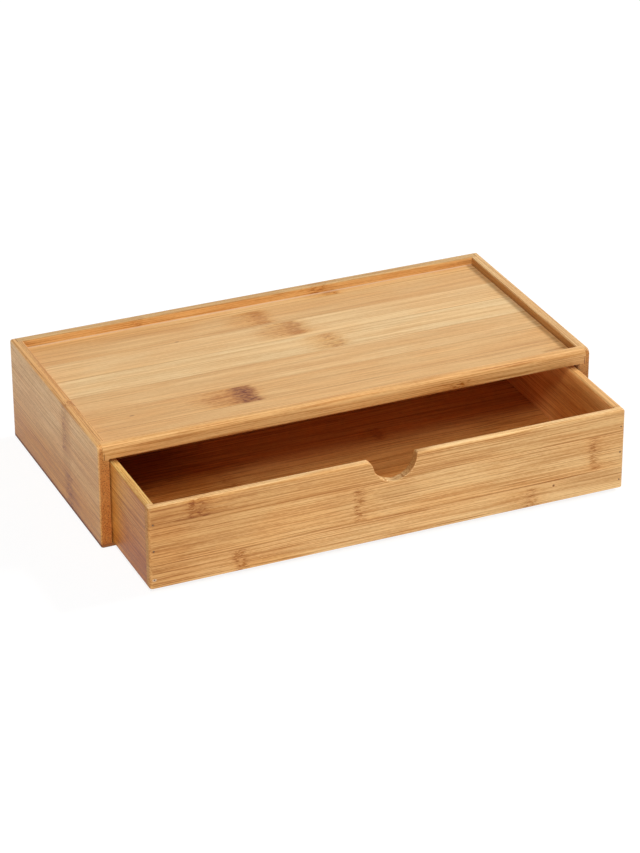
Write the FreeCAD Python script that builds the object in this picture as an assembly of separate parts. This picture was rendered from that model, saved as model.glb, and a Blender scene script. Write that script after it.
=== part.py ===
import FreeCAD, Part
import math
import os

# A low bamboo storage box: a casing with a raised rim round its top and one inset drawer
# with a half-round finger notch. The drawer stands part way out, as in the picture of it.
# Millimetres, +X to the right seen from the front, +Y to the back, +Z up.
# The origin is the centre of the casing's underside.

# Casing, outside sizes and board thicknesses
CASING_WIDTH = 340.0
CASING_DEPTH = 168.0
CASING_HEIGHT = 71.0
WALL = 7.0
BASE_THICKNESS = 2.4
TOP_THICKNESS = 4.0
TRAY_DEPTH = 5.0
RAIL_HEIGHT = 10.0

# Casing joints: the rail and the back panel lap into the side panels, the top runs in grooves
LAP = 3.2
TOP_GROOVE = 3.0
TOP_PLAY = 0.3

# Casing edges as sanded after glue-up, the top one over the drawer the most
CASING_FRONT_ROUND = 4.0
CASING_BACK_ROUND = 1.8
CASING_SIDE_ROUND = 1.6
CASING_BASE_ROUND = 1.0
TRAY_ROUND = 0.9
RAIL_ARRIS_ROUND = 1.0

# Drawer, outside sizes and board thicknesses
DRAWER_SIDE_GAP = 1.0
DRAWER_BACK_GAP = 1.0
DRAWER_RUNNING_GAP = 0.1
DRAWER_TOP = 58.4
DRAWER_WALL = 6.0
DRAWER_OPEN = 64.0

# Drawer floor panel and the grooves it sits in
FLOOR_THICKNESS = 3.0
FLOOR_TOP = 9.9
FLOOR_GROOVE = 2.0
FLOOR_PLAY = 0.15

# Drawer edges as sanded
DRAWER_UPRIGHT_ROUND = 2.0
DRAWER_BOTTOM_ROUND = 0.6
DRAWER_TOP_ROUND = 1.9

# Finger notch: a half-round a little right of the middle, whose lips run out into the top
# edge, the left one more worn, and whose own arrises are only just eased
NOTCH_X = 1.0
NOTCH_RADIUS = 15.0
NOTCH_DEPTH = 16.2
NOTCH_LIP_LEFT = 5.5
NOTCH_LIP_RIGHT = 1.6
NOTCH_ARRIS_ROUND = 0.8
NOTCH_REACH = 30.0

# Headless brads of flat wire, set a little below the wood
BRAD_WIDTH = 1.2
BRAD_THICKNESS = 1.0
BRAD_LENGTH = 16.0
BRAD_SET = 0.3
DRAWER_BRAD_EDGE = 2.8
DRAWER_BRAD_HEIGHTS = (8.6, 28.4, 46.6)
BASE_BRADS_PER_SIDE = 4
BASE_BRAD_PITCH = 42.0
BASE_BRADS_AT_BACK = 3
BASE_BACK_BRAD_PITCH = 110.0

# Places worked out from the sizes above
HALF_WIDTH = CASING_WIDTH / 2
FRONT = -CASING_DEPTH / 2
BACK = CASING_DEPTH / 2
INNER_X = HALF_WIDTH - WALL
INNER_FRONT = FRONT + WALL
INNER_BACK = BACK - WALL
LAP_X = HALF_WIDTH - LAP
TRAY_FLOOR = CASING_HEIGHT - TRAY_DEPTH
TOP_UNDERSIDE = TRAY_FLOOR - TOP_THICKNESS
RAIL_UNDERSIDE = CASING_HEIGHT - RAIL_HEIGHT

DRAWER_HALF_WIDTH = INNER_X - DRAWER_SIDE_GAP
DRAWER_INNER_X = DRAWER_HALF_WIDTH - DRAWER_WALL
DRAWER_LENGTH = INNER_BACK - DRAWER_BACK_GAP - FRONT
DRAWER_FRONT = FRONT - DRAWER_OPEN
DRAWER_REAR = DRAWER_FRONT + DRAWER_LENGTH
DRAWER_INNER_FRONT = DRAWER_FRONT + DRAWER_WALL
DRAWER_INNER_REAR = DRAWER_REAR - DRAWER_WALL
DRAWER_BOTTOM = BASE_THICKNESS + DRAWER_RUNNING_GAP
FLOOR_UNDERSIDE = FLOOR_TOP - FLOOR_THICKNESS

# How near counts as touching, and how far a cutter runs past the wood
TOUCH = 1e-4
CLEAR = 1.0
ACROSS = FreeCAD.Vector(1, 0, 0)
BACKWARDS = FreeCAD.Vector(0, 1, 0)
UP = FreeCAD.Vector(0, 0, 1)


def block(x_span, y_span, z_span):
    """A box between two x, two y and two z places, given in either order."""
    low = [min(span) for span in (x_span, y_span, z_span)]
    high = [max(span) for span in (x_span, y_span, z_span)]
    sizes = [top - bottom for top, bottom in zip(high, low)]
    return Part.makeBox(*sizes, FreeCAD.Vector(*low))


def board(blank, cutters, sanded):
    """One board: its blank less the joints cut in it, brought to the sanded outline."""
    for cutter in cutters:
        blank = blank.cut(cutter)
    return blank.common(sanded).removeSplitter().Solids[0]


def upright_edges(solid):
    """The edges that run straight up and down."""
    return [edge for edge in solid.Edges
            if abs(edge.BoundBox.ZLength - edge.Length) < TOUCH]


def level_edges(solid, height):
    """The edges that lie wholly at one height."""
    return [edge for edge in solid.Edges
            if abs(edge.BoundBox.ZMin - height) < TOUCH and abs(edge.BoundBox.ZMax - height) < TOUCH]


def notch_cutter():
    """The finger notch, drawn on the front of the drawer and pushed through its front board."""
    centre_z = DRAWER_TOP - NOTCH_DEPTH + NOTCH_RADIUS

    def lip(radius, side):
        """Where a lip arc starts on the top edge, its middle, and where it meets the half-round."""
        lip_z = DRAWER_TOP - radius
        reach = NOTCH_RADIUS + radius
        lip_x = math.sqrt(reach ** 2 - (centre_z - lip_z) ** 2)
        start = (lip_x, DRAWER_TOP)
        meet = (lip_x * NOTCH_RADIUS / reach, centre_z + (lip_z - centre_z) * NOTCH_RADIUS / reach)
        start_angle = math.pi / 2
        meet_angle = math.atan2(meet[1] - lip_z, meet[0] - lip_x) % (2 * math.pi)
        half_way = (start_angle + meet_angle) / 2
        middle = (lip_x + radius * math.cos(half_way), lip_z + radius * math.sin(half_way))
        return [FreeCAD.Vector(NOTCH_X + side * x, DRAWER_FRONT - CLEAR, z)
                for x, z in (start, middle, meet)]

    left = lip(NOTCH_LIP_LEFT, -1)
    right = lip(NOTCH_LIP_RIGHT, 1)
    lowest = FreeCAD.Vector(NOTCH_X, DRAWER_FRONT - CLEAR, centre_z - NOTCH_RADIUS)
    above = FreeCAD.Vector(0, 0, NOTCH_LIP_LEFT)
    outline = Part.Wire([
        Part.Arc(*left).toShape(),
        Part.Arc(left[2], lowest, right[2]).toShape(),
        Part.Arc(*reversed(right)).toShape(),
        Part.makeLine(right[0], right[0] + above),
        Part.makeLine(right[0] + above, left[0] + above),
        Part.makeLine(left[0] + above, left[0]),
    ])
    return Part.Face(outline).extrude(FreeCAD.Vector(0, DRAWER_WALL + 2 * CLEAR, 0))


def sanded_casing():
    """The casing's outline with the tray sunk in its top and every outside edge eased."""
    body = block((-HALF_WIDTH, HALF_WIDTH), (FRONT, BACK), (0, CASING_HEIGHT))
    for y, radius in ((FRONT, CASING_FRONT_ROUND), (BACK, CASING_BACK_ROUND)):
        along = [edge for edge in level_edges(body, CASING_HEIGHT)
                 if abs(edge.BoundBox.YMin - y) < TOUCH and abs(edge.BoundBox.YMax - y) < TOUCH]
        body = body.makeFillet(radius, along)
    body = body.makeFillet(CASING_SIDE_ROUND, upright_edges(body))
    body = body.makeFillet(CASING_BASE_ROUND, level_edges(body, 0))
    tray = block((-INNER_X, INNER_X), (INNER_FRONT, INNER_BACK), (TRAY_FLOOR, CASING_HEIGHT))
    body = body.cut(tray)
    rim = [edge for edge in level_edges(body, CASING_HEIGHT)
           if tray.distToShape(edge)[0] < TOUCH]
    return body.makeFillet(TRAY_ROUND, rim)


def rail_arris():
    """What is sanded off the rail's lower front arris, between the side panels."""
    middle = FreeCAD.Vector(-INNER_X, FRONT + RAIL_ARRIS_ROUND, RAIL_UNDERSIDE + RAIL_ARRIS_ROUND)
    corner = block((-INNER_X, INNER_X), (FRONT, middle.y), (RAIL_UNDERSIDE, middle.z))
    return corner.cut(Part.makeCylinder(RAIL_ARRIS_ROUND, 2 * INNER_X, middle, ACROSS))


def sanded_drawer():
    """The drawer's outline with its well and finger notch, and every edge eased."""
    body = block((-DRAWER_HALF_WIDTH, DRAWER_HALF_WIDTH), (DRAWER_FRONT, DRAWER_REAR),
                 (DRAWER_BOTTOM, DRAWER_TOP))
    body = body.makeFillet(DRAWER_UPRIGHT_ROUND, upright_edges(body))
    body = body.makeFillet(DRAWER_BOTTOM_ROUND, level_edges(body, DRAWER_BOTTOM))
    well = block((-DRAWER_INNER_X, DRAWER_INNER_X), (DRAWER_INNER_FRONT, DRAWER_INNER_REAR),
                 (FLOOR_UNDERSIDE, DRAWER_TOP))
    body = body.cut(well)
    rounded = body.makeFillet(DRAWER_TOP_ROUND, level_edges(body, DRAWER_TOP))
    notched = body.cut(notch_cutter())
    return rounded.common(notched.makeFillet(NOTCH_ARRIS_ROUND, top_edge_loop(notched)))


def top_edge_loop(body):
    """The drawer's top edges, inside and out, with the two arrises of the finger notch."""
    def by_notch(edge):
        box = edge.BoundBox
        return abs(box.Center.x) < NOTCH_REACH and box.YMax < DRAWER_INNER_FRONT + TOUCH

    arrises = [edge for edge in body.Edges
               if by_notch(edge) and edge.BoundBox.YLength < TOUCH
               and edge.BoundBox.ZMin > DRAWER_TOP - NOTCH_DEPTH - TOUCH]
    return arrises + [edge for edge in level_edges(body, DRAWER_TOP) if not by_notch(edge)]


def brad(x, y, z, direction, thin):
    """One brad driven from a face at (x, y, z), thin along one axis, and the hole it leaves."""
    wide = direction.cross(thin)
    half = thin * (BRAD_THICKNESS / 2) + wide * (BRAD_WIDTH / 2)
    mouth = FreeCAD.Vector(x, y, z)
    head = mouth + direction * BRAD_SET
    point = head + direction * BRAD_LENGTH
    hole, shank = [block(*zip(start - half, point + half)) for start in (mouth, head)]
    return shank, hole


def row(count, pitch):
    """Evenly spaced places about zero."""
    return [(index - (count - 1) / 2) * pitch for index in range(count)]


def brad_groups():
    """Every group of brads by name, as lists of (shank, hole)."""
    groups = {}
    for name, side in (("left", -1), ("right", 1)):
        edge_x = side * (HALF_WIDTH - WALL / 2)
        groups["base_" + name + "_brads"] = [
            brad(edge_x, y, 0, UP, ACROSS) for y in row(BASE_BRADS_PER_SIDE, BASE_BRAD_PITCH)]
        corner_x = side * (DRAWER_HALF_WIDTH - DRAWER_BRAD_EDGE)
        groups["drawer_front_" + name + "_brads"] = [
            brad(corner_x, DRAWER_FRONT, z, BACKWARDS, ACROSS) for z in DRAWER_BRAD_HEIGHTS]
        groups["drawer_back_" + name + "_brads"] = [
            brad(corner_x, DRAWER_REAR, z, -BACKWARDS, ACROSS) for z in DRAWER_BRAD_HEIGHTS]
    groups["base_back_brads"] = [
        brad(x, BACK - WALL / 2, 0, UP, BACKWARDS)
        for x in row(BASE_BRADS_AT_BACK, BASE_BACK_BRAD_PITCH)]
    return groups


def holes(groups, *names):
    """The holes of the named groups of brads."""
    return [hole for name in names for shank, hole in groups[name]]


def casing_boards(groups):
    """The six boards of the casing."""
    sanded = sanded_casing()
    depth = (FRONT, BACK)
    inside = (INNER_FRONT, INNER_BACK)
    full_height = (BASE_THICKNESS, CASING_HEIGHT)
    groove_height = (TOP_UNDERSIDE, TRAY_FLOOR)
    boards = {}
    for name, side in (("left", -1), ("right", 1)):
        lap_x = (side * INNER_X, side * LAP_X)
        cutters = [
            block(lap_x, (FRONT, INNER_FRONT), (RAIL_UNDERSIDE, CASING_HEIGHT)),
            block(lap_x, (INNER_BACK, BACK), full_height),
            block((side * INNER_X, side * (INNER_X + TOP_GROOVE)), inside, groove_height),
        ] + holes(groups, "base_" + name + "_brads")
        blank = block((side * INNER_X, side * HALF_WIDTH), depth, full_height)
        boards[name + "_side_panel"] = board(blank, cutters, sanded)

    lap_width = (-LAP_X, LAP_X)
    rail_groove = block(lap_width, (INNER_FRONT - TOP_GROOVE, INNER_FRONT), groove_height)
    rail_blank = block(lap_width, (FRONT, INNER_FRONT), (RAIL_UNDERSIDE, CASING_HEIGHT))
    boards["front_rail"] = board(rail_blank, [rail_groove, rail_arris()], sanded)

    back_groove = block(lap_width, (INNER_BACK, INNER_BACK + TOP_GROOVE), groove_height)
    back_blank = block(lap_width, (INNER_BACK, BACK), full_height)
    boards["back_panel"] = board(
        back_blank, [back_groove] + holes(groups, "base_back_brads"), sanded)

    base_blank = block((-HALF_WIDTH, HALF_WIDTH), depth, (0, BASE_THICKNESS))
    boards["base_board"] = board(
        base_blank, holes(groups, "base_left_brads", "base_right_brads", "base_back_brads"), sanded)

    reach = TOP_GROOVE - TOP_PLAY
    boards["top_panel"] = block(
        (-INNER_X - reach, INNER_X + reach), (INNER_FRONT - reach, INNER_BACK + reach), groove_height)
    return boards


def drawer_boards(groups):
    """The five boards of the drawer."""
    sanded = sanded_drawer()
    width = (-DRAWER_HALF_WIDTH, DRAWER_HALF_WIDTH)
    height = (DRAWER_BOTTOM, DRAWER_TOP)
    groove_x = DRAWER_INNER_X + FLOOR_GROOVE
    floor_groove = block(
        (-groove_x, groove_x), (DRAWER_INNER_FRONT - FLOOR_GROOVE, DRAWER_INNER_REAR + FLOOR_GROOVE),
        (FLOOR_UNDERSIDE, FLOOR_TOP))
    boards = {}
    for name, side in (("left", -1), ("right", 1)):
        blank = block((side * DRAWER_INNER_X, side * DRAWER_HALF_WIDTH),
                      (DRAWER_INNER_FRONT, DRAWER_INNER_REAR), height)
        cutters = [floor_groove] + holes(
            groups, "drawer_front_" + name + "_brads", "drawer_back_" + name + "_brads")
        boards["drawer_" + name + "_side"] = board(blank, cutters, sanded)
    for name, faces in (("front", (DRAWER_FRONT, DRAWER_INNER_FRONT)),
                        ("back", (DRAWER_INNER_REAR, DRAWER_REAR))):
        prefix = "drawer_" + name
        cutters = [floor_groove] + holes(groups, prefix + "_left_brads", prefix + "_right_brads")
        boards[prefix] = board(block(width, faces, height), cutters, sanded)

    reach = FLOOR_GROOVE - FLOOR_PLAY
    boards["drawer_floor"] = block(
        (-DRAWER_INNER_X - reach, DRAWER_INNER_X + reach),
        (DRAWER_INNER_FRONT - reach, DRAWER_INNER_REAR + reach), (FLOOR_UNDERSIDE, FLOOR_TOP))
    return boards


def main():
    groups = brad_groups()
    nodes = casing_boards(groups)
    nodes.update(drawer_boards(groups))
    for name, brads in groups.items():
        nodes[name] = Part.makeCompound([shank for shank, hole in brads])
    os.makedirs("parts", exist_ok=True)
    for name, shape in nodes.items():
        shape.exportStep("parts/" + name + ".step")
        print(name, len(shape.Solids), "solids", round(shape.Volume), "mm3", "valid", shape.isValid())


main()
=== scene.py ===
"""Looks of a bamboo drawer storage box: boards of bamboo strips, brads, filler, floor and light."""
import math
from dataclasses import dataclass
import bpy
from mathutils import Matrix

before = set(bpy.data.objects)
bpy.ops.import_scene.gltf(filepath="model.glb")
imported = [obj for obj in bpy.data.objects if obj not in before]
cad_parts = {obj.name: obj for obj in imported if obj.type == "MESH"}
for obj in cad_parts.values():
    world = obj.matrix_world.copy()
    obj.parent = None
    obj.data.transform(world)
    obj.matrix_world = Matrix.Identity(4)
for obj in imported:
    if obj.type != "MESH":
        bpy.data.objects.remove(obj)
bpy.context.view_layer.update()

from types import SimpleNamespace

import bmesh
import bpy
from mathutils import Matrix, Vector

MM = 0.001


# The boards. Places on them are millimetres in the box's own frame, with the drawer as at rest.

STRIP_WIDTH = 25.2  # a bamboo strip as laid side by side in a board, mm


@dataclass
class Knuckle:
    """A joint of the bamboo stalk: a dark mottled core across one strip, in a soft brown halo."""
    along: float  # its place along the fibres
    across: float  # its place across them
    reach: float = 5.0  # half the core's length along the fibres, mm
    half_width: float = 12.4  # mm
    stain: float = 0.6  # how dark the core is
    lean: int = -1  # the side, -1 or 1, that the halo trails off to
    halo: float = 0.4  # how strongly the halo shows
    mottle: float = 0.9  # how much of the core breaks up into dashes


@dataclass
class Patch:
    """An oval mark with soft edges on a board: a stain, a painted shade or a painted highlight."""
    along: float  # its place along the fibres
    across: float  # its place across them
    length: float  # from its middle to its end, mm
    width: float  # from its middle to its side, mm
    strength: float


@dataclass
class Board:
    """How a board was cut and what has marked it since, with the shade and highlights painted on it."""
    grain: str  # the axis its fibres run along
    width: str  # the axis its strips lie side by side on
    seam: float  # where its first strip starts, mm
    strips: tuple  # the lightness and warmth of each strip
    tone: tuple = (0.0, 0.0)  # the lightness and warmth of the whole board
    edge: tuple = (0.0, 0.0)  # the lightness and warmth of its sanded edges
    fibres: float = 1.0  # how strongly its fibres show
    lines: float = 0.5  # how strongly the brown lines between them show
    bands: float = 1.0  # how strongly its broad pale and dark bands show
    end_grain: float = 1.0  # how dark its ends are
    worn: float = 0.4  # how brown its arrises are
    tray_wall_shade: float = 0.0  # how dark the brown shade painted on its face inside the rim is
    knuckles: tuple = ()
    charred: tuple = ()  # knuckles with a far darker core
    washes_and_shade: tuple = ()  # pale brown patches: stains, and on some boards painted shade
    streaks: tuple = ()  # patches of brown streaks: stains, and on the drawer's floor and right side painted shade
    specks_and_shade: tuple = ()  # small dark spots, and on the drawer's floor a wide patch of painted shade
    dabs: tuple = ()  # pale filler-coloured marks: filler, and a pale line along the foot of the back rim
    shades: tuple = ()  # even brown patches: stains, and on the drawer's sides and floor painted shade
    rubbed_and_highlit: tuple = ()  # stretches of arris made paler: rubbed pale, and a painted highlight
    notch_shades: tuple = ()  # painted shade on a wall cut through the board, as in the finger notch
    joints: tuple = ()  # axes, each with the two places past which the board is let into its neighbours


BOARDS = {
    "top_panel": Board(
        grain="X", width="Y", seam=-81.6, fibres=0.6, lines=0.3, bands=0.95,
        strips=((0.03, 0.1), (0.01, 0.25), (0.04, -0.5), (0.1, -1.7), (0.08, -1.0), (0.01, 0.0),
                (0.06, -0.6)),
        knuckles=(Knuckle(-4, 57, 6, 11, stain=0.35, halo=0.9, mottle=0.4),
                  Knuckle(11, 33, 7, 11, stain=0.5, halo=0.9, mottle=0.5),
                  Knuckle(27, 6, 6, 11, stain=0.45, halo=0.8), Knuckle(55, 76, 6, 6, 0.9, halo=0.8),
                  Knuckle(-59, -44, 10, 11.8, 0.4, halo=0.9)),
        charred=(Knuckle(-55, -44.2, 9.2, 11.6, 1.0, halo=0.2, mottle=0.4),),
        # The first wash is painted shade over the left part of the top.
        washes_and_shade=(Patch(-150, 0, 170, 120, 0.1), Patch(60, 57, 60, 9, 0.12), Patch(-14, 57, 22, 11, 0.4),
                Patch(2, 33, 24, 10, 0.4)),
        streaks=(Patch(-72, -44, 18, 12, 0.8), Patch(0, 33, 30, 12, 0.4), Patch(154, -67, 13, 4, 1.0)),
        specks_and_shade=(Patch(-132.5, -43, 2.5, 1.0, 0.5), Patch(-68, 44.5, 2.0, 1.0, 0.5)),
        # A pale line along the foot of the back rim.
        dabs=(Patch(0, 76.2, 450, 1.9, 0.45),),
        joints=(("X", -162.7, 162.4),)),
    "drawer_front": Board(
        grain="X", width="Z", seam=-7.0, fibres=1.2, lines=0.9, bands=1.1, worn=0.0,
        # Its top and bottom faces are lighter: sanded pale, and on the top partly a painted highlight.
        tone=(-0.05, 0.2), edge=(0.28, -1.5), end_grain=0.0,
        strips=((0.08, -0.5), (0.05, -0.1), (-0.02, 0.3)),
        knuckles=(Knuckle(-130, 52, 9, 6.5, 0.85, 1, 0.7, 0.8), Knuckle(-23, 30, 4.5, 12, 0.7, 1, 0.35),
                  Knuckle(140, 31, 4.5, 12, 0.6, 1, 0.35), Knuckle(-103, 9, 6, 8, 0.8, 1, 0.5),
                  Knuckle(97, 9, 6, 7, 0.6, -1, 0.3)),
        washes_and_shade=(Patch(-150, 44, 190, 50, 0.25), Patch(60, 22, 90, 8, 0.15), Patch(-84, 3, 34, 9, 0.5),
                Patch(-170, 28, 60, 70, 0.4)),
        streaks=(Patch(-146, 38, 34, 20, 0.8), Patch(-170, 28, 90, 70, 0.7), Patch(-30, 30, 30, 14, 0.3),
                 Patch(95, 12, 30, 9, 0.4)),
        specks_and_shade=(Patch(112, 14.4, 1.1, 1.1, 1.0), Patch(-159.2, 28.4, 1.4, 1.2, 0.5),
                Patch(-159.2, 46.6, 1.4, 1.2, 0.4), Patch(159.2, 28.4, 1.4, 1.2, 0.4)),
        dabs=(Patch(-159.2, 8.6, 1.9, 1.3, 0.7),),
        shades=(Patch(-142, 50, 36, 15, 0.4), Patch(-160, 36, 105, 60, 0.27), Patch(2, 34, 24, 7, 0.35),
                Patch(140, 12, 42, 7, 0.35)),
        # a painted highlight on the notch's left lip, its arris rubbed pale too
        rubbed_and_highlit=(Patch(-14, 52, 12, 16, 1.0),),
        # painted shade on the notch's walls
        notch_shades=(Patch(16, 49, 17, 17, 1.0), Patch(6, 43, 11, 7, 0.6))),
    "left_side_panel": Board(
        grain="Y", width="Z", seam=3.6, fibres=2.3, lines=0.7, bands=1.0, edge=(-0.08, 1.3), worn=0.0,
        strips=((0.05, 0.1),),
        knuckles=(Knuckle(-20, 58, 5, 20, stain=0.6, halo=0.4), Knuckle(-27, 12, 8, 12, 0.7, 1)),
        # The wash low down is partly painted shade, darker towards the bottom.
        washes_and_shade=(Patch(-80, 22, 90, 50, 0.4), Patch(-84, 16, 44, 24, 0.65), Patch(10, -4, 190, 54, 0.95),
                Patch(-24, 36, 16, 60, 0.4)),
        shades=(Patch(-24, 38, 10, 60, 0.3), Patch(-34, 8, 16, 12, 0.4)),
        rubbed_and_highlit=(Patch(0, 71, 200, 6, 1.0),),
        joints=(("Z", 2.6, 80),)),
    "right_side_panel": Board(
        # Its face inside the rim has painted shade.
        grain="Y", width="Z", seam=11.0, fibres=1.3, edge=(0.0, -0.3), worn=0.6, tray_wall_shade=0.85,
        strips=((0.03, 0.3), (-0.03, -0.3), (0.03, 0.2)),
        knuckles=(Knuckle(35, 48, 5), Knuckle(-47, 23, 5, lean=1), Knuckle(31, 5, 5, 6)),
        joints=(("Z", 2.6, 80),)),
    "back_panel": Board(
        grain="X", width="Z", seam=-4.0, tone=(0.04, 1.0), edge=(-0.12, -1.8), worn=0.6,
        strips=((0.0, 0.3), (0.04, 0.0), (-0.04, 0.4)),
        knuckles=(Knuckle(-96, 33, 5), Knuckle(118, 33, 5, lean=1), Knuckle(12, 9, 6),
                  Knuckle(47, 60, 8, 11, 0.7), Knuckle(-83, 66, 4, 7, 0.35, halo=0.2)),
        streaks=(Patch(110, 72, 30, 4, 0.8), Patch(20, 72, 14, 3, 0.9)),
        joints=(("X", -166.5, 166.5), ("Z", 2.6, 80))),
    "front_rail": Board(
        grain="X", width="Z", seam=60.0, fibres=1.1, lines=0.8, tone=(-0.06, 0.9), edge=(0.12, -0.2),
        worn=0.0,
        strips=((0.0, 0.0),),
        knuckles=(Knuckle(76, 62.5, 8, 4, 0.9),),
        streaks=(Patch(-30, 68, 30, 3, 0.6), Patch(60, 61, 130, 3, 0.8), Patch(-60, 61, 120, 3, 0.6),
                 Patch(120, 62, 60, 4, 0.8)),
        washes_and_shade=(Patch(-90, 72, 80, 8, 0.25),),
        specks_and_shade=(Patch(-166.1, 62.5, 0.55, 5.0, 0.8), Patch(166.1, 62.5, 0.55, 5.0, 0.8)),
        shades=(Patch(118, 69.4, 13, 1.0, 0.5), Patch(-112, 69.4, 10, 1.0, 0.4),
                Patch(-126, 66.8, 34, 1.2, 0.55))),
    "base_board": Board(
        # Darker than the other boards, partly as painted shade for the dark line along the box's foot.
        grain="X", width="Y", seam=-79.0, tone=(-0.22, 1.4),
        strips=((0.0, 0.0), (-0.04, 0.2), (0.06, 0.0), (0.0, 0.3), (-0.04, 0.0), (0.04, 0.2), (0.0, 0.0)),
        knuckles=(Knuckle(-120, -42, 6), Knuckle(64, -16, 6, lean=1), Knuckle(-20, 9, 5),
                  Knuckle(131, 34, 6), Knuckle(-84, 59, 6)),
        joints=(("X", -169.6, 169.6), ("Y", -83.6, 83.6))),
    "drawer_back": Board(
        grain="X", width="Z", seam=-2.0, tone=(0.0, 0.8),
        strips=((0.0, 0.0), (-0.04, 0.2), (0.05, 0.0)),
        knuckles=(Knuckle(-70, 36, 5), Knuckle(102, 11, 5, lean=1), Knuckle(-128, 11, 6))),
    "drawer_left_side": Board(
        grain="Y", width="Z", seam=9.0, fibres=3.5, lines=1.0, bands=0.4,
        tone=(-0.02, 2.9), edge=(0.1, -4.1),
        strips=((0.0, 0.2), (0.0, 0.0)),
        knuckles=(Knuckle(-108, 22, 7, stain=0.3), Knuckle(-40, 47, 5, stain=0.5)),
        # Its washes and shades are painted shade on the front of its outside.
        washes_and_shade=(Patch(-130, 7, 58, 30, 0.95),),
        shades=(Patch(-150, 24, 64, 100, 0.56),),
        joints=(("Y", -142.0, 5.7),)),
    "drawer_right_side": Board(
        grain="Y", width="Z", seam=-30.0, fibres=0.9, tone=(0.28, 0.0), edge=(-0.14, 0.6),
        strips=((0.0, 0.0),),
        # Its washes, streaks and shades are painted shade.
        washes_and_shade=(Patch(-104, 20, 62, 42, 0.5),),
        streaks=(Patch(-96, 30, 62, 42, 1.0),),
        shades=(Patch(-96, 30, 58, 40, 0.6),),
        joints=(("Y", -141.7, 5.7),)),
    "drawer_floor": Board(
        grain="X", width="Y", seam=-150.0, fibres=1.7, lines=1.0, bands=1.3, tone=(0.04, 0.8),
        strips=((0.0, 0.0), (0.04, 0.0), (-0.04, 0.3), (0.0, 0.0), (0.06, 0.2), (-0.04, 0.0), (0.0, 0.0)),
        knuckles=(Knuckle(-71, -50, 6, 10, 0.4, halo=0.3), Knuckle(43, -30, 5, 9),
                  Knuckle(40, -112, 6, lean=1)),
        # Its washes, streaks, specks and shades are painted shade: at its left inner corner, at its right by
        # the wall, and along its front.
        washes_and_shade=(Patch(-125, 0, 44, 48, 1.0), Patch(-110, -36, 60, 34, 0.6)),
        streaks=(Patch(150, -58, 84, 48, 1.0), Patch(-112, -30, 90, 80, 1.0)),
        specks_and_shade=(Patch(-130, 0, 72, 60, 0.55),),
        shades=(Patch(150, -58, 80, 44, 0.4), Patch(-100, -56, 50, 30, 0.45), Patch(0, -62, 400, 34, 0.25)),
        joints=(("Y", -141.7, 5.7),)),
}
BRADS = [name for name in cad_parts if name.endswith("_brads")]


# The bamboo. A tint is what the colour under it is multiplied by.

PALE_FIBRE = (0.80, 0.51, 0.225)
HONEY_FIBRE = (0.58, 0.30, 0.10)
FILLER = (0.72, 0.58, 0.42)
BROWN_TINT = (0.60, 0.42, 0.20)
HALO_AND_SHADE_TINT = (0.80, 0.56, 0.22)
KNUCKLE_TINT = (0.50, 0.27, 0.03)
CHARRED_TINT = (0.36, 0.17, 0.03)
SPECK_AND_SHADE_TINT = (0.30, 0.18, 0.10)
JOINT_TINT = (0.45, 0.28, 0.15)
END_GRAIN_TINT = (0.70, 0.51, 0.32)
BUNDLE_TINT = tuple(0.42 * part for part in END_GRAIN_TINT)
NOTCH_SHADE_TINT = (0.62, 0.50, 0.36)
WELL_SHADE_TINT = (1.02, 0.88, 0.72)
BLUSH_TINT = (1.0, 0.94, 0.87)
RUBBED_HIGHLIGHT_TINT = (1.12, 1.12, 1.12)
WARMTH = (0.0, 0.08, 0.2)  # how much of red, green and blue one step of warmth takes away


@dataclass
class Feature:
    """A kind of feature that noise draws in the bamboo."""
    length: float  # along the fibres, mm
    thickness: float  # across them, mm
    detail: float = 2.0
    roughness: float = 0.5
    shows: tuple = ()  # the levels of the noise between which it comes to show; without them, all of it does


BANDS = Feature(240, 4.5)
FIBRES = Feature(110, 1.3, detail=3.0, roughness=0.6)
FINE_FIBRES = Feature(60, 0.6, roughness=0.6)
LINES = Feature(75, 0.5, shows=(0.55, 0.68))
FLECKS = Feature(3.2, 0.55)
BUNDLES = Feature(80, 1.0, shows=(0.16, 0.42))
BLUSHES = Feature(50, 12.0, shows=(0.35, 0.65))
STREAKS = Feature(28, 1.6, detail=3.0, roughness=0.6, shows=(0.38, 0.68))
DASHES = Feature(4.5, 0.85, roughness=0.6, shows=(0.44, 0.60))
SWIRLS = Feature(9, 4.0)
WAVES = Feature(90, 4.0)

# How far apart stalks lie in the noise: the next board's, and the next strip's aside and along the fibres
BOARD_STEP = 17.0  # strips
STRIP_STEP = 61.7  # mm
ALONG_STEP = 7.3  # times as far

# Knuckles. Rises and falls are where a mark starts and stops showing, in reaches from its middle.
CORE_RISE, CORE_FALL = (-1.3, -0.3), (0.3, 1.0)
HALO_RISE, HALO_FALL = (-5.0, 0.0), (0.0, 2.2)
HALO_BETWEEN_STREAKS = 0.55  # how strongly a halo shows between its streaks
KNUCKLE_WAVER = 9.0  # how far a knuckle wanders along the fibres, mm
SWIRL = 5.0  # how far fibres are pushed aside round a knuckle, mm
PATCH_CORE = 0.35  # the share of a patch's size that shows in full

# How squarely a face looks along an axis, from where it begins to count as an edge, an end, a board's own
# face or a flat place, to where it wholly is one
EDGE_FACING = (0.55, 0.78)
END_FACING = (0.6, 0.92)
BOARD_FACING = (0.2, 0.8)
FLAT_FACING = (0.8, 0.99)

SEAM_SHOWS = (0.1, 0.5)  # how far from its middle a seam starts and stops fading, mm
JOINT_SHOWS = (-0.3, 0.1)  # where the line of a joint comes to show, mm past the place
CLEAN_EDGE = 0.8  # how far sanded edges are clear of washes, streaks and shades
LIGHTNESS = 0.55  # of bamboo between honey, 0, and pale, 1
ROUGHNESS = 0.38  # of the lacquer over even bamboo
FIBRE_ROUGHNESS = 0.14  # what the fibres add to it
END_ROUGHNESS = 0.2  # what end grain adds to it

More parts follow.
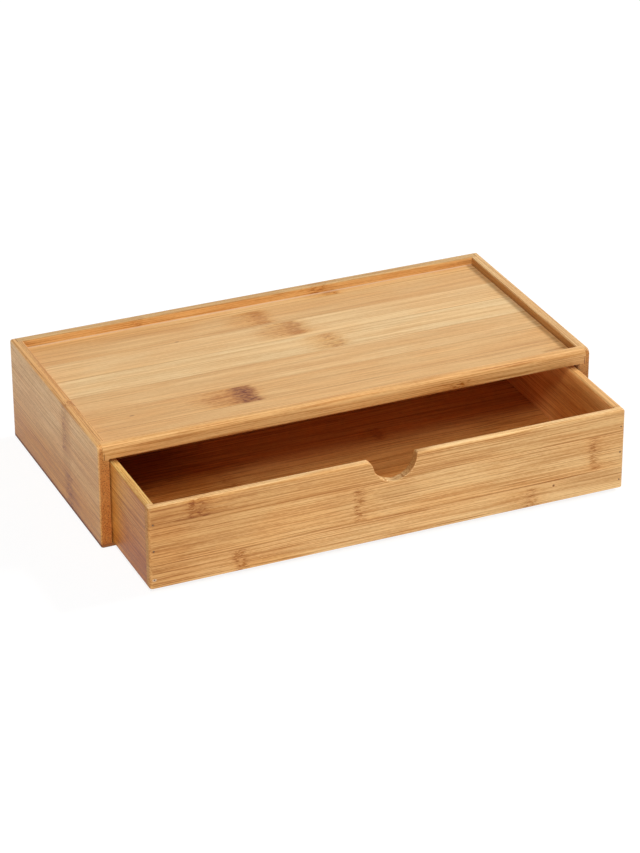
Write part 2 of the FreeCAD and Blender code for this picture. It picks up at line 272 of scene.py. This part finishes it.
# Spaces whose walls are coloured on their own, mm, as painted shade: the drawer's inside, warmer, and the
# tray inside the rim, browner
WELL = {"X": (-156.2, 156.2), "Y": (-142.2, 6.2), "Z": (0.0, 57.6)}
TRAY = {"X": (-163.2, 163.2), "Y": (-77.2, 77.2), "Z": (60.0, 70.4)}


class Wiring:
    """Puts shader nodes in a tree, and feeds each input a number, a colour or another node's output."""

    def __init__(self, tree):
        self.tree = tree

    def feed(self, socket, value):
        if isinstance(value, bpy.types.NodeSocket):
            self.tree.links.new(value, socket)
        elif socket.type == "RGBA":
            socket.default_value = (*value, 1.0)
        else:
            socket.default_value = value

    def node(self, kind, inputs=None, **settings):
        made = self.tree.nodes.new(kind)
        for name, value in settings.items():
            setattr(made, name, value)
        for key, value in (inputs or {}).items():
            self.feed(made.inputs[key], value)
        return made

    def math(self, operation, first, second=0.0, third=0.0):
        inputs = {0: first, 1: second, 2: third}
        return self.node("ShaderNodeMath", inputs, operation=operation).outputs[0]

    def minus(self, first, second):
        return self.math("SUBTRACT", first, second)

    def over(self, first, second):
        return self.math("DIVIDE", first, second)

    def times(self, first, *others):
        for other in others:
            first = self.math("MULTIPLY", first, other)
        return first

    def times_plus(self, value, factor, added):
        return self.math("MULTIPLY_ADD", value, factor, added)

    def highest(self, first, *others):
        for other in others:
            first = self.math("MAXIMUM", first, other)
        return first

    def fade(self, value, start, end, low=0.0, high=1.0):
        """From low to high, smoothly, as the value goes from start to end."""
        inputs = {"Value": value, "From Min": start, "From Max": end, "To Min": low, "To Max": high}
        return self.node("ShaderNodeMapRange", inputs, interpolation_type="SMOOTHSTEP").outputs[0]

    def hump(self, value, rise, fall, scale):
        """Fades in over the rise and out again over the fall, both of them in steps of the scale."""
        shown = self.fade(value, rise[0] * scale, rise[1] * scale)
        return self.times(shown, self.fade(value, fall[0] * scale, fall[1] * scale, 1.0, 0.0))

    def vector(self, operation, first, second=(0.0, 0.0, 0.0)):
        return self.node("ShaderNodeVectorMath", {0: first, 1: second}, operation=operation).outputs[0]

    def split(self, vector):
        return self.node("ShaderNodeSeparateXYZ", {0: vector}).outputs

    def join(self, *parts):
        return self.node("ShaderNodeCombineXYZ", dict(enumerate(parts))).outputs[0]

    def noise(self, place, detail=2.0, roughness=0.5):
        inputs = {"Vector": place, "Scale": 1.0, "Detail": detail, "Roughness": roughness}
        return self.node("ShaderNodeTexNoise", inputs).outputs["Fac"]

    def blend(self, amount, first, second, way="MIX"):
        made = self.node("ShaderNodeMix", data_type="RGBA", blend_type=way)
        for key, value in (("Factor_Float", amount), ("A_Color", first), ("B_Color", second)):
            self.feed(next(socket for socket in made.inputs if socket.identifier == key), value)
        return next(socket for socket in made.outputs if socket.identifier == "Result_Color")

    def stain(self, amount, colour, tint):
        """The colour, tinted as far as the amount says."""
        tinted = self.blend(1.0, colour, tint, "MULTIPLY")
        return self.blend(self.math("MINIMUM", amount, 1.0), colour, tinted)

    def seen(self):
        """1 where a thing is seen, in a reflection too, and 0 where it only gives light to other things."""
        paths = self.node("ShaderNodeLightPath").outputs
        return self.highest(paths["Is Camera Ray"], paths["Is Glossy Ray"], paths["Is Transmission Ray"])


def new_material(name):
    material = bpy.data.materials.new(name)
    material.use_nodes = True
    material.node_tree.nodes.clear()
    return material, Wiring(material.node_tree)


class Stalk:
    """The stalks that a board's strips were cut from, with the noise that runs along their fibres."""

    def __init__(self, wire, number, seed, along, through):
        self.wire = wire
        apart = wire.times(wire.math("ADD", number, seed * BOARD_STEP), STRIP_STEP)
        self.along = wire.times_plus(apart, ALONG_STEP, along)
        self.through = wire.math("ADD", apart, through)

    def place(self, feature, across):
        """Each place on the stalk, counted in features."""
        wire = self.wire
        return wire.join(wire.over(self.along, feature.length), wire.over(across, feature.thickness),
                         wire.over(self.through, feature.thickness))

    def noise(self, feature, across):
        level = self.wire.noise(self.place(feature, across), feature.detail, feature.roughness)
        return self.wire.fade(level, *feature.shows) if feature.shows else level

    def bundles(self, across):
        """Threads of darker fibre, which show as dots in the end grain."""
        inputs = {"Vector": self.place(BUNDLES, across), "Scale": 1.0}
        distance = self.wire.node("ShaderNodeTexVoronoi", inputs).outputs["Distance"]
        return self.wire.fade(distance, *BUNDLES.shows, 1.0, 0.0)


def knuckle_marks(wire, knuckle, along, across, waver, streaks, dashes):
    """How strongly one knuckle's halo and its core show at each place."""
    away = wire.times_plus(wire.minus(along, knuckle.along), -knuckle.lean, waver)
    aside = wire.math("ABSOLUTE", wire.minus(across, knuckle.across))
    inside = wire.fade(aside, knuckle.half_width - 0.8, knuckle.half_width + 0.4, 1.0, 0.0)
    core = wire.hump(away, CORE_RISE, CORE_FALL, knuckle.reach)
    core = wire.times(core, wire.fade(dashes, 0.0, 1.0, 1.0 - knuckle.mottle, 1.0))
    halo = wire.hump(away, HALO_RISE, HALO_FALL, knuckle.reach)
    halo = wire.times(halo, wire.fade(streaks, 0.0, 1.0, HALO_BETWEEN_STREAKS, 1.0))
    return wire.times(halo, knuckle.halo, inside), wire.times(core, knuckle.stain, inside)


def strongest_marks(wire, knuckles, *places):
    """The strongest halo and the strongest core of several knuckles."""
    halos, cores = 0.0, 0.0
    for knuckle in knuckles:
        halo, core = knuckle_marks(wire, knuckle, *places)
        halos = wire.highest(halos, halo)
        cores = wire.highest(cores, core)
    return halos, cores


def patches(wire, marks, wood):
    """How strongly soft patches show at each place."""
    total = 0.0
    for mark in marks:
        place = wire.join(wire.over(wire.minus(wood.along, mark.along), mark.length),
                          wire.over(wire.minus(wood.across, mark.across), mark.width))
        away = wire.node("ShaderNodeVectorMath", {0: place}, operation="LENGTH").outputs["Value"]
        total = wire.highest(total, wire.fade(away, PATCH_CORE, 1.0, mark.strength, 0.0))
    return total


def joint_line(wire, here, joints):
    """Where the board meets its neighbours, as a thin line."""
    total = 0.0
    for axis, low, high in joints:
        past = wire.highest(wire.minus(low, here[axis]), wire.minus(here[axis], high))
        total = wire.highest(total, wire.fade(past, *JOINT_SHOWS))
    return total


def within(wire, here, space):
    """The faces that lie within a space."""
    total = 1.0
    for axis, (low, high) in space.items():
        total = wire.times(total, wire.math("COMPARE", here[axis], (low + high) / 2, (high - low) / 2))
    return total


def tone_colour(lightness, warmth):
    return [(1.0 + lightness) * (1.0 - warmth * share) for share in WARMTH]


def strip_colours(wire, number, board):
    """The colour of each strip, by its number in the board."""
    count = len(board.strips)
    ramp = wire.node("ShaderNodeValToRGB", {0: wire.over(wire.math("ADD", number, 0.5), count)})
    steps = ramp.color_ramp
    steps.interpolation = "CONSTANT"
    while len(steps.elements) < count:
        steps.elements.new(0.5)
    while len(steps.elements) > count:
        steps.elements.remove(steps.elements[-1])
    for index, (lightness, warmth) in enumerate(board.strips):
        step = steps.elements[index]
        step.position = index / count
        step.color = (*tone_colour(lightness + board.tone[0], warmth + board.tone[1]), 1.0)
    return ramp.outputs["Color"]


def wood_at_each_place(wire, board, seed):
    """Where each place is on the board and in its strip, which way its face looks, and how strongly the
    knuckles and the fibres show there."""
    coordinates = wire.node("ShaderNodeTexCoord").outputs
    here = wire.split(wire.vector("MULTIPLY", coordinates["Object"], (1 / MM, 1 / MM, 1 / MM)))
    facing = wire.split(wire.vector("ABSOLUTE", coordinates["Normal"]))
    thickness = next(axis for axis in "XYZ" if axis not in (board.grain, board.width))
    along, across = here[board.grain], here[board.width]

    # Strips, each from a stalk of its own
    strip = wire.over(wire.minus(across, board.seam), STRIP_WIDTH)
    number = wire.math("FLOOR", strip)
    in_strip = wire.minus(strip, number)
    from_seam = wire.times(wire.math("MINIMUM", in_strip, wire.minus(1.0, in_strip)), STRIP_WIDTH)
    stalk = Stalk(wire, number, seed, along, here[thickness])

    # Knuckles
    swirls = stalk.noise(SWIRLS, across)
    waver = wire.times_plus(stalk.noise(WAVES, across), KNUCKLE_WAVER, -KNUCKLE_WAVER / 2)
    streaks = stalk.noise(STREAKS, across)
    dashes = stalk.noise(DASHES, wire.times_plus(swirls, SWIRL, across))
    halos, cores = strongest_marks(wire, board.knuckles, along, across, waver, streaks, dashes)
    char_halos, chars = strongest_marks(wire, board.charred, along, across, waver, streaks, dashes)
    disturbed = wire.highest(halos, cores, chars)

    # Fibres, pushed aside round the knuckles
    pushed = wire.times(wire.times_plus(swirls, SWIRL, -SWIRL / 2), disturbed)
    fibre = wire.math("ADD", across, pushed)

    return SimpleNamespace(
        here=here, along=along, across=across, facing=facing, number=number, from_seam=from_seam,
        edge=wire.fade(facing[board.width], *EDGE_FACING),
        end=wire.fade(facing[board.grain], *END_FACING),
        cut_through=wire.fade(facing[thickness], *BOARD_FACING, 1.0, 0.0),
        halos=wire.highest(halos, char_halos), cores=cores, chars=chars, disturbed=disturbed,
        streaks=streaks,
        bands=stalk.noise(BANDS, fibre),
        fibres=stalk.noise(FIBRES, fibre),
        fine_fibres=stalk.noise(FINE_FIBRES, fibre),
        flecks=stalk.noise(FLECKS, fibre),
        lines=stalk.noise(LINES, fibre),
        blushes=stalk.noise(BLUSHES, across),
        bundles=stalk.bundles(fibre))


def long_face_colour(wire, board, wood):
    """Fibres, strips and seams, with the marks that the wood grew or was given, and shade painted on some
    boards.
    """
    lightness = LIGHTNESS
    flecked = wire.times_plus(wood.disturbed, 3.0, board.fibres)
    for pattern, amount in ((wood.bands, board.bands), (wood.fibres, 0.6 * board.fibres),
                            (wood.fine_fibres, 3.0 * board.fibres), (wood.flecks, flecked)):
        lightness = wire.times_plus(wire.minus(pattern, 0.5), amount, lightness)
    colour = wire.blend(wire.fade(lightness, 0.0, 1.0), HONEY_FIBRE, PALE_FIBRE)
    colour = wire.stain(wood.blushes, colour, BLUSH_TINT)
    colour = wire.stain(wire.times(wood.lines, board.lines), colour, BROWN_TINT)
    colour = wire.blend(1.0, colour, strip_colours(wire, wood.number, board), "MULTIPLY")
    seam = wire.fade(wood.from_seam, *SEAM_SHOWS, 1.0, 0.0)
    colour = wire.stain(wire.times(seam, wire.fade(wood.bands, 0.4, 0.6, 0.15, 0.9)), colour, BROWN_TINT)

    away_from_edges = wire.minus(1.0, wire.times(wood.edge, CLEAN_EDGE))
    washed_and_shaded = wire.highest(wood.halos, patches(wire, board.washes_and_shade, wood))
    colour = wire.stain(wire.times(washed_and_shaded, away_from_edges), colour, HALO_AND_SHADE_TINT)
    streaked = wire.times(patches(wire, board.streaks, wood), wood.streaks)
    shaded = wire.highest(streaked, patches(wire, board.shades, wood))
    colour = wire.stain(wire.times(shaded, away_from_edges), colour, BROWN_TINT)
    colour = wire.stain(wood.cores, colour, KNUCKLE_TINT)
    colour = wire.stain(wood.chars, colour, CHARRED_TINT)
    colour = wire.stain(patches(wire, board.specks_and_shade, wood), colour, SPECK_AND_SHADE_TINT)
    return wire.blend(patches(wire, board.dabs, wood), colour, FILLER)


def cut_colour(wire, board, wood, colour):
    """The colour, changed on sanded edges, end grain and arrises, with a painted highlight on some arrises
    and painted shade on walls cut through the board.
    """
    colour = wire.blend(wood.edge, colour, wire.blend(1.0, colour, tone_colour(*board.edge), "MULTIPLY"))
    end_tint = wire.blend(wood.bundles, END_GRAIN_TINT, BUNDLE_TINT)
    colour = wire.stain(wire.times(wood.end, board.end_grain), colour, end_tint)
    flattest = wire.highest(wood.facing["X"], wood.facing["Y"], wood.facing["Z"])
    arris = wire.fade(flattest, *FLAT_FACING, 1.0, 0.0)
    wear_and_tray_shade = wire.times(arris, board.worn, wire.fade(wood.streaks, 0.0, 0.7, 0.3, 1.0))
    colour = wire.stain(wear_and_tray_shade, colour, BROWN_TINT)
    rubbed_and_highlit = wire.times(arris, patches(wire, board.rubbed_and_highlit, wood))
    colour = wire.stain(rubbed_and_highlit, colour, RUBBED_HIGHLIGHT_TINT)
    notch_shaded = wire.times(wood.cut_through, patches(wire, board.notch_shades, wood))
    return wire.stain(notch_shaded, colour, NOTCH_SHADE_TINT)


def bamboo(name, board, seed):
    """Bamboo as it shows on one board: strips, fibres, knuckles and end grain under a satin lacquer, with
    shade painted on some of it.
    """
    material, wire = new_material("bamboo_" + name)
    wood = wood_at_each_place(wire, board, seed)
    colour = cut_colour(wire, board, wood, long_face_colour(wire, board, wood))
    colour = wire.stain(joint_line(wire, wood.here, board.joints), colour, JOINT_TINT)
    # the drawer's inside painted warmer, as painted shade for the warm light bounced about in it
    if name.startswith("drawer_"):
        colour = wire.stain(within(wire, wood.here, WELL), colour, WELL_SHADE_TINT)
    # painted shade, in brown, on the face inside the rim
    if board.tray_wall_shade:
        wear_and_tray_shade = wire.times(within(wire, wood.here, TRAY), board.tray_wall_shade)
        colour = wire.stain(wear_and_tray_shade, colour, BROWN_TINT)

    relief = wire.times_plus(wood.fibres, 0.5, wire.times(wood.fine_fibres, 0.5))
    relief = wire.times_plus(wire.highest(wood.disturbed, wood.bundles), -0.25, relief)
    bump = wire.node("ShaderNodeBump", {"Strength": 0.5, "Distance": 0.1 * MM, "Height": relief})
    rough = wire.times_plus(wood.end, END_ROUGHNESS, ROUGHNESS)
    rough = wire.times_plus(wood.fibres, FIBRE_ROUGHNESS, rough)
    shader = wire.node("ShaderNodeBsdfPrincipled", {
        "Base Color": colour, "Roughness": rough, "Normal": bump.outputs[0],
        "Coat Weight": 0.05, "Coat Roughness": 0.3, "Specular IOR Level": 0.3})
    wire.node("ShaderNodeOutputMaterial", {"Surface": shader.outputs[0]})
    return material


# The brads

BRAD_BROWN = (0.10, 0.05, 0.025)
BRAD_GREY = (0.22, 0.15, 0.10)
SPOTS_PER_METRE = 2500.0


def brad_steel():
    """Dull steel wire, browned where the lacquer ran over it."""
    material, wire = new_material("brad_steel")
    here = wire.node("ShaderNodeTexCoord").outputs["Object"]
    spots = wire.noise(wire.vector("MULTIPLY", here, (SPOTS_PER_METRE,) * 3), detail=3.0)
    colour = wire.blend(wire.fade(spots, 0.35, 0.65), BRAD_BROWN, BRAD_GREY)
    rough = wire.fade(spots, 0.3, 0.7, 0.65, 0.4)
    bump = wire.node("ShaderNodeBump", {"Strength": 0.2, "Distance": 0.05 * MM, "Height": spots})
    shader = wire.node("ShaderNodeBsdfPrincipled", {
        "Base Color": colour, "Roughness": rough, "Metallic": 0.4, "Normal": bump.outputs[0]})
    wire.node("ShaderNodeOutputMaterial", {"Surface": shader.outputs[0]})
    return material


def finish_piece(name, material):
    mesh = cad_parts[name].data
    mesh.materials.clear()
    mesh.materials.append(material)


# Stage, light and camera, in metres

WHITE = (1.0, 1.0, 1.0)
FLOOR_SIZE = 14.0
FLOOR_GAP = 0.2 * MM  # the floor lies just clear of the box's underside
FLOOR_GREY = (0.8, 0.8, 0.8)
FLOOR_GLOW = 1.2
GLOW_SHARE = 0.7  # how much of the floor's look is its glow, and not the light that falls on it
WORLD_LEVEL = 0.22
LAMPS = (  # name, place, size, and the light it gives a surface that faces it
    ("key_right", (2.2, 0.1, 2.0), 0.7, 0.62),
    ("low_front", (-1.2, -2.5, 0.35), 0.5, 0.26),
    ("high_front", (-0.8, -1.6, 2.05), 0.8, 0.4),
)
CAMERA_PLACE = (-0.74039, -1.73543, 0.98512)
CAMERA_TURN = math.radians(23.519)
CAMERA_TILT = math.radians(27.327)
CAMERA_ROLL = math.radians(-0.214)
CAMERA_LENS = 135.68  # mm
SENSOR_WIDTH = 36.0  # mm


def studio_floor():
    """A plain white floor. It lights the box as a pale floor does, and shows as white with a soft shadow."""
    sheet = bmesh.new()
    bmesh.ops.create_grid(sheet, x_segments=1, y_segments=1, size=FLOOR_SIZE / 2)
    mesh = bpy.data.meshes.new("floor")
    sheet.to_mesh(mesh)
    sheet.free()
    floor = bpy.data.objects.new("floor", mesh)
    floor.location.z = -FLOOR_GAP
    bpy.context.scene.collection.objects.link(floor)
    material, wire = new_material("floor_white")
    matt = wire.node("ShaderNodeBsdfDiffuse", {"Color": FLOOR_GREY})
    glow = wire.node("ShaderNodeEmission", {"Color": WHITE, "Strength": FLOOR_GLOW})
    glowing = wire.times(wire.seen(), GLOW_SHARE)
    shown = wire.node("ShaderNodeMixShader", {0: glowing, 1: matt.outputs[0], 2: glow.outputs[0]})
    below = wire.node("ShaderNodeNewGeometry").outputs["Backfacing"]
    clear = wire.node("ShaderNodeBsdfTransparent")
    whole = wire.node("ShaderNodeMixShader", {0: below, 1: shown.outputs[0], 2: clear.outputs[0]})
    wire.node("ShaderNodeOutputMaterial", {"Surface": whole.outputs[0]})
    mesh.materials.append(material)


def studio_world(level):
    """Even white light from all round, which the camera sees as white."""
    world = bpy.data.worlds.new("studio")
    world.use_nodes = True
    world.node_tree.nodes.clear()
    wire = Wiring(world.node_tree)
    soft = wire.node("ShaderNodeBackground", {"Color": WHITE, "Strength": level})
    white = wire.node("ShaderNodeBackground", {"Color": WHITE, "Strength": 1.0})
    mixed = wire.node("ShaderNodeMixShader", {0: wire.seen(), 1: soft.outputs[0], 2: white.outputs[0]})
    wire.node("ShaderNodeOutputWorld", {"Surface": mixed.outputs[0]})
    bpy.context.scene.world = world


def softbox(name, place, size, level):
    """A square lamp aimed at the box."""
    lamp = bpy.data.lights.new(name, "AREA")
    lamp.shape = "SQUARE"
    lamp.size = size
    distance = Vector(place).length
    lamp.energy = level * math.pi * math.pi * distance ** 2
    lamp_object = bpy.data.objects.new(name, lamp)
    lamp_object.location = place
    lamp_object.rotation_euler = (-Vector(place)).to_track_quat("-Z", "Y").to_euler()
    bpy.context.scene.collection.objects.link(lamp_object)


def camera():
    """The photograph's own viewpoint, worked out from the box's straight edges."""
    made = bpy.data.objects.new("camera", bpy.data.cameras.new("camera"))
    made.data.lens = CAMERA_LENS
    made.data.sensor_width = SENSOR_WIDTH
    turn = Matrix.Rotation(-CAMERA_TURN, 4, "Z") @ Matrix.Rotation(math.pi / 2 - CAMERA_TILT, 4, "X")
    made.matrix_world = Matrix.Translation(CAMERA_PLACE) @ turn @ Matrix.Rotation(CAMERA_ROLL, 4, "Z")
    bpy.context.scene.collection.objects.link(made)
    bpy.context.scene.camera = made


for seed, (name, board) in enumerate(BOARDS.items(), start=1):
    finish_piece(name, bamboo(name, board, seed))
steel = brad_steel()
for name in BRADS:
    finish_piece(name, steel)

studio_floor()
studio_world(WORLD_LEVEL)
for lamp in LAMPS:
    softbox(*lamp)
camera()
bpy.context.scene.view_settings.view_transform = "Standard"
